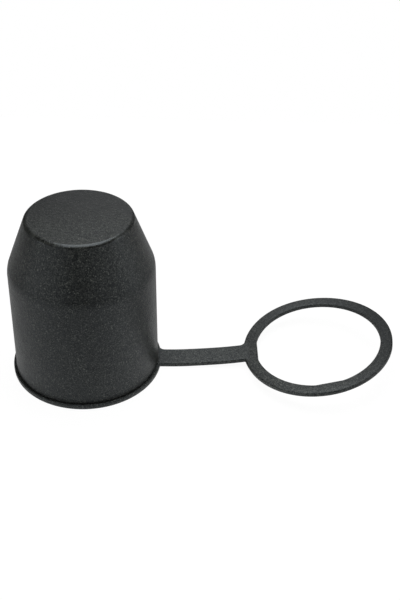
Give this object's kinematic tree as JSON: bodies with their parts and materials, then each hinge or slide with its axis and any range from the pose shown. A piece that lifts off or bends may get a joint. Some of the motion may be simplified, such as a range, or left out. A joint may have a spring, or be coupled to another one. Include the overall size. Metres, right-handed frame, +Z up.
{
  "type": "tow ball cover",
  "caption": "Soft black cap with a coned crown that slips over a tow ball, moulded in one piece with a strap and a flat keeper ring.",
  "frame": {"origin": "centre of the cap's mouth, on the plane that the rim stands on", "axes": "+Z up along the cap's axis to its flat top, +X along the strap to the ring"},
  "size_m": [0.1692, 0.0666, 0.0756],
  "materials": {
    "rubber": "matte, finely speckled moulded rubber"
  },
  "bodies": {
    "root": {"cover": "rubber"}
  },
  "joints": []
}
